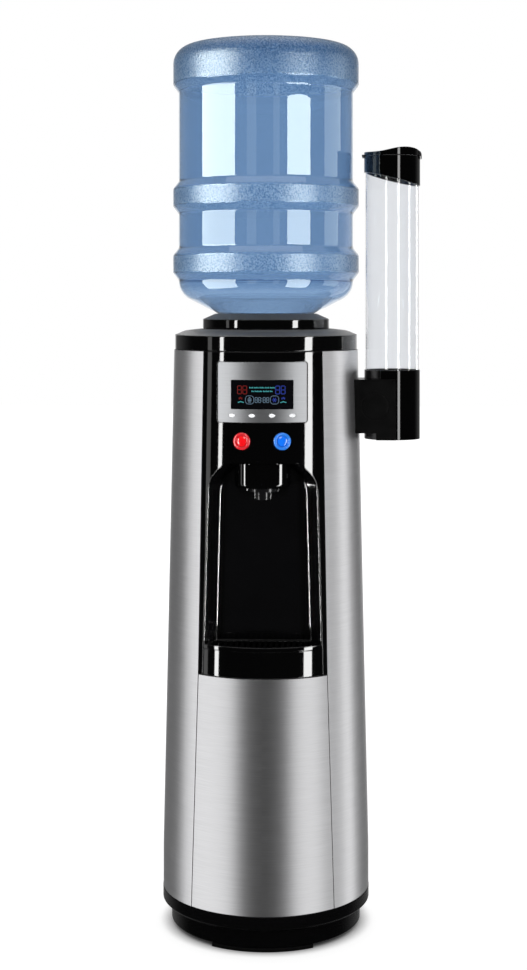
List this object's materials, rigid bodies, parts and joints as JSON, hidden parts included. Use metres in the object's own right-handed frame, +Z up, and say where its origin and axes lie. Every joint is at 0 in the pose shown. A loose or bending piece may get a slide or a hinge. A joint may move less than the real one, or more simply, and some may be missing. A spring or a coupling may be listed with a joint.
{
  "type": "water cooler",
  "caption": "Free-standing round water cooler with an inverted bottle, steel sides, black dispensing niche, push buttons, pull-out drip tray and a cup dispenser on its side.",
  "frame": {"origin": "on the cabinet's axis at the floor", "axes": "+Z up, the front faces -Y, +X towards the cup dispenser"},
  "size_m": [0.3763, 0.299, 1.2678],
  "materials": {
    "brushed_steel": "vertical panels, fine horizontal brushing",
    "black_gloss": "glossy black moulding",
    "black_matte": "fine grained black moulding",
    "silver_bezel": "silver painted moulding",
    "display_glass": "dark polished window",
    "circuit": "green circuit board",
    "red_button": "red moulded plastic",
    "blue_button": "blue moulded plastic",
    "red_ring": "red translucent ring",
    "blue_ring": "blue translucent ring",
    "button_silver": "bright silver plating",
    "valve_white": "white moulding",
    "bottle_blue": "clear blue polycarbonate",
    "cap_blue": "blue cap",
    "clear_tube": "clear acrylic",
    "sheet_steel": "plated sheet",
    "tank_steel": "stainless sheet",
    "copper": "copper tube",
    "foam": "white rigid foam",
    "rubber": "black rubber",
    "hose": "pale silicone hose",
    "black_enamel": "black enamel",
    "screw_zinc": "zinc plated"
  },
  "bodies": {
    "cabinet": {"foot_ring": "rubber", "base_plinth": "black_matte", "left_side_panel": "brushed_steel", "right_side_panel": "brushed_steel", "lower_front_panel": "brushed_steel", "front_fascia": "black_gloss", "niche_liner": "black_gloss", "spout_housing": "black_gloss", "spout_nozzle": "black_gloss", "display_bezel": "silver_bezel", "display_window": "display_glass", "display_board": "circuit", "hot_button_ring": "red_ring", "cold_button_ring": "blue_ring", "hot_valve": "valve_white", "cold_valve": "valve_white", "top_cover": "black_gloss", "bottle_collar": "black_gloss", "feed_probe": "valve_white", "left_upright": "sheet_steel", "right_upright": "sheet_steel", "upper_shelf": "sheet_steel", "lower_shelf": "sheet_steel", "cold_tank": "tank_steel", "cold_tank_foam": "foam", "evaporator_coil": "copper", "hot_tank": "tank_steel", "hot_tank_foam": "foam", "heater_band": "tank_steel", "thermostat": "black_matte", "transfer_pipe": "tank_steel", "cold_hose": "hose", "hot_hose": "hose", "compressor": "black_enamel", "compressor_mounts": "rubber", "condenser": "black_enamel", "rear_sheet": "sheet_steel", "rear_screws": "screw_zinc", "cord_gland": "black_matte", "drain_pipe": "hose", "power_box": "black_matte", "cup_bracket": "black_gloss", "bracket_screws": "screw_zinc", "cup_socket": "black_gloss", "cup_retainer": "black_matte", "cup_tube": "clear_tube", "cup_collar": "black_gloss", "lid_pin": "screw_zinc"},
    "bottle": {"water_bottle": "bottle_blue", "bottle_cap": "cap_blue"},
    "hot_button": {"hot_button": "red_button"},
    "cold_button": {"cold_button": "blue_button"},
    "mode_button_1": {"mode_button_1": "button_silver"},
    "mode_button_2": {"mode_button_2": "button_silver"},
    "mode_button_3": {"mode_button_3": "button_silver"},
    "mode_button_4": {"mode_button_4": "button_silver"},
    "drip_tray": {"drip_tray": "black_gloss"},
    "drip_grille": {"drip_grille": "black_matte"},
    "cup_lid": {"cup_lid": "black_gloss"},
    "drain_bung": {"drain_bung": "rubber"}
  },
  "joints": [
    {"name": "bottle_lift", "type": "slide", "parent": "cabinet", "child": "bottle", "axis": [0, 0, 1], "range_m": [0, 0.12]},
    {"name": "hot_button_press", "type": "slide", "parent": "cabinet", "child": "hot_button", "axis": [0.2063, 0.9785, 0], "range_m": [0, 0.004], "stiffness_N_per_m": 900, "springref_m": -0.002},
    {"name": "cold_button_press", "type": "slide", "parent": "cabinet", "child": "cold_button", "axis": [-0.2063, 0.9785, 0], "range_m": [0, 0.004], "stiffness_N_per_m": 900, "springref_m": -0.002},
    {"name": "drip_tray_slide", "type": "slide", "parent": "cabinet", "child": "drip_tray", "axis": [0, -1, 0], "range_m": [0, 0.05]},
    {"name": "drip_grille_lift", "type": "slide", "parent": "drip_tray", "child": "drip_grille", "axis": [0, 0, 1], "range_m": [0, 0.03]},
    {"name": "cup_lid_hinge", "type": "hinge", "parent": "cabinet", "child": "cup_lid", "pos_m": [0.1418, 0, 1.107], "axis": [0, -1, 0], "range_deg": [0, 80]},
    {"name": "drain_bung_pull", "type": "slide", "parent": "cabinet", "child": "drain_bung", "axis": [0, 1, 0], "range_m": [0, 0.015]},
    {"name": "mode_button_1_press", "type": "slide", "parent": "cabinet", "child": "mode_button_1", "axis": [0, 1, 0], "range_m": [0, 0.0015], "stiffness_N_per_m": 400, "springref_m": -0.00075},
    {"name": "mode_button_2_press", "type": "slide", "parent": "cabinet", "child": "mode_button_2", "axis": [0, 1, 0], "range_m": [0, 0.0015], "stiffness_N_per_m": 400, "springref_m": -0.00075},
    {"name": "mode_button_3_press", "type": "slide", "parent": "cabinet", "child": "mode_button_3", "axis": [0, 1, 0], "range_m": [0, 0.0015], "stiffness_N_per_m": 400, "springref_m": -0.00075},
    {"name": "mode_button_4_press", "type": "slide", "parent": "cabinet", "child": "mode_button_4", "axis": [0, 1, 0], "range_m": [0, 0.0015], "stiffness_N_per_m": 400, "springref_m": -0.00075}
  ]
}
